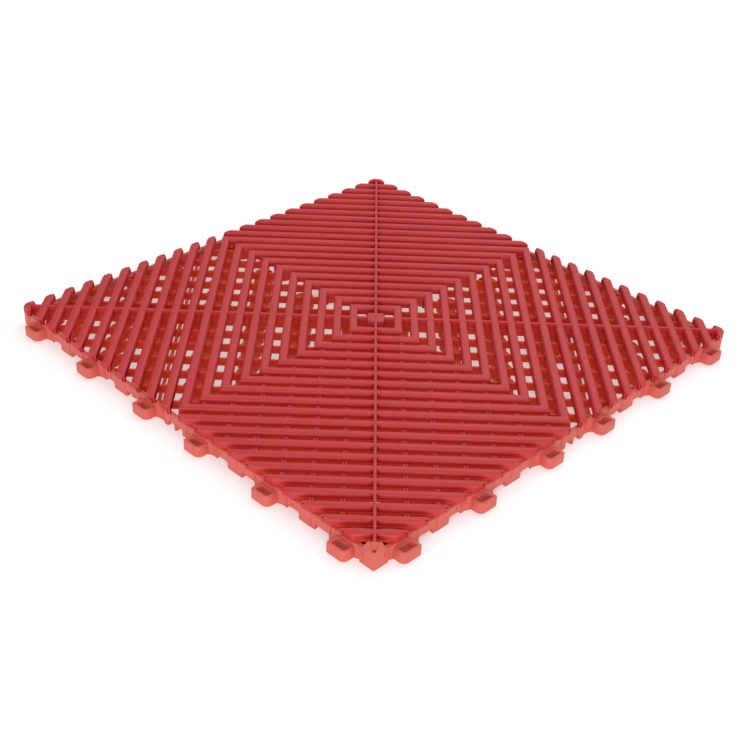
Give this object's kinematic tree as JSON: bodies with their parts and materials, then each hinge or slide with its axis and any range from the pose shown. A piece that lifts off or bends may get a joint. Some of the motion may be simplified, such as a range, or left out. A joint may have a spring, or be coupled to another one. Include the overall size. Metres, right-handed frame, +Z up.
{
  "type": "interlocking ventilated floor tile",
  "caption": "Square rigid floor tile with concentric diagonal ribs over an open support lattice, with connector loops on two sides and pegs on the other two.",
  "frame": {"origin": "on the floor, at the middle of the tile's 400 mm square body; the connector loops stand out past that square on two sides", "axes": "+Z up, out of the ribbed top; X and Y along the tile's edges; the loops are on the -Y and +X sides"},
  "size_m": [0.409, 0.409, 0.018],
  "materials": {
    "rib_red": "moulded polypropylene, satin",
    "wall_red": "moulded polypropylene, satin",
    "lattice_red": "moulded polypropylene, satin"
  },
  "bodies": {
    "root": {"centre_block": "rib_red", "ring_rib_01": "rib_red", "ring_rib_02": "rib_red", "ring_rib_03": "rib_red", "ring_rib_04": "rib_red", "ring_rib_05": "rib_red", "ring_rib_06": "rib_red", "ring_rib_07": "rib_red", "ring_rib_08": "rib_red", "ring_rib_09": "rib_red", "ring_rib_10": "rib_red", "north_east_rib_field": "rib_red", "north_east_support_lattice": "lattice_red", "north_east_corner_post": "wall_red", "north_west_rib_field": "rib_red", "north_west_support_lattice": "lattice_red", "north_west_corner_post": "wall_red", "south_west_rib_field": "rib_red", "south_west_support_lattice": "lattice_red", "south_west_corner_post": "wall_red", "south_east_rib_field": "rib_red", "south_east_support_lattice": "lattice_red", "south_east_corner_post": "wall_red", "south_edge_wall": "wall_red", "south_connector_loop_1": "wall_red", "south_connector_loop_2": "wall_red", "south_connector_loop_3": "wall_red", "south_connector_loop_4": "wall_red", "south_connector_loop_5": "wall_red", "south_connector_loop_6": "wall_red", "east_edge_wall": "wall_red", "east_connector_loop_1": "wall_red", "east_connector_loop_2": "wall_red", "east_connector_loop_3": "wall_red", "east_connector_loop_4": "wall_red", "east_connector_loop_5": "wall_red", "east_connector_loop_6": "wall_red", "north_edge_wall": "wall_red", "north_connector_peg_1": "wall_red", "north_connector_peg_2": "wall_red", "north_connector_peg_3": "wall_red", "north_connector_peg_4": "wall_red", "north_connector_peg_5": "wall_red", "north_connector_peg_6": "wall_red", "west_edge_wall": "wall_red", "west_connector_peg_1": "wall_red", "west_connector_peg_2": "wall_red", "west_connector_peg_3": "wall_red", "west_connector_peg_4": "wall_red", "west_connector_peg_5": "wall_red", "west_connector_peg_6": "wall_red"}
  },
  "joints": []
}
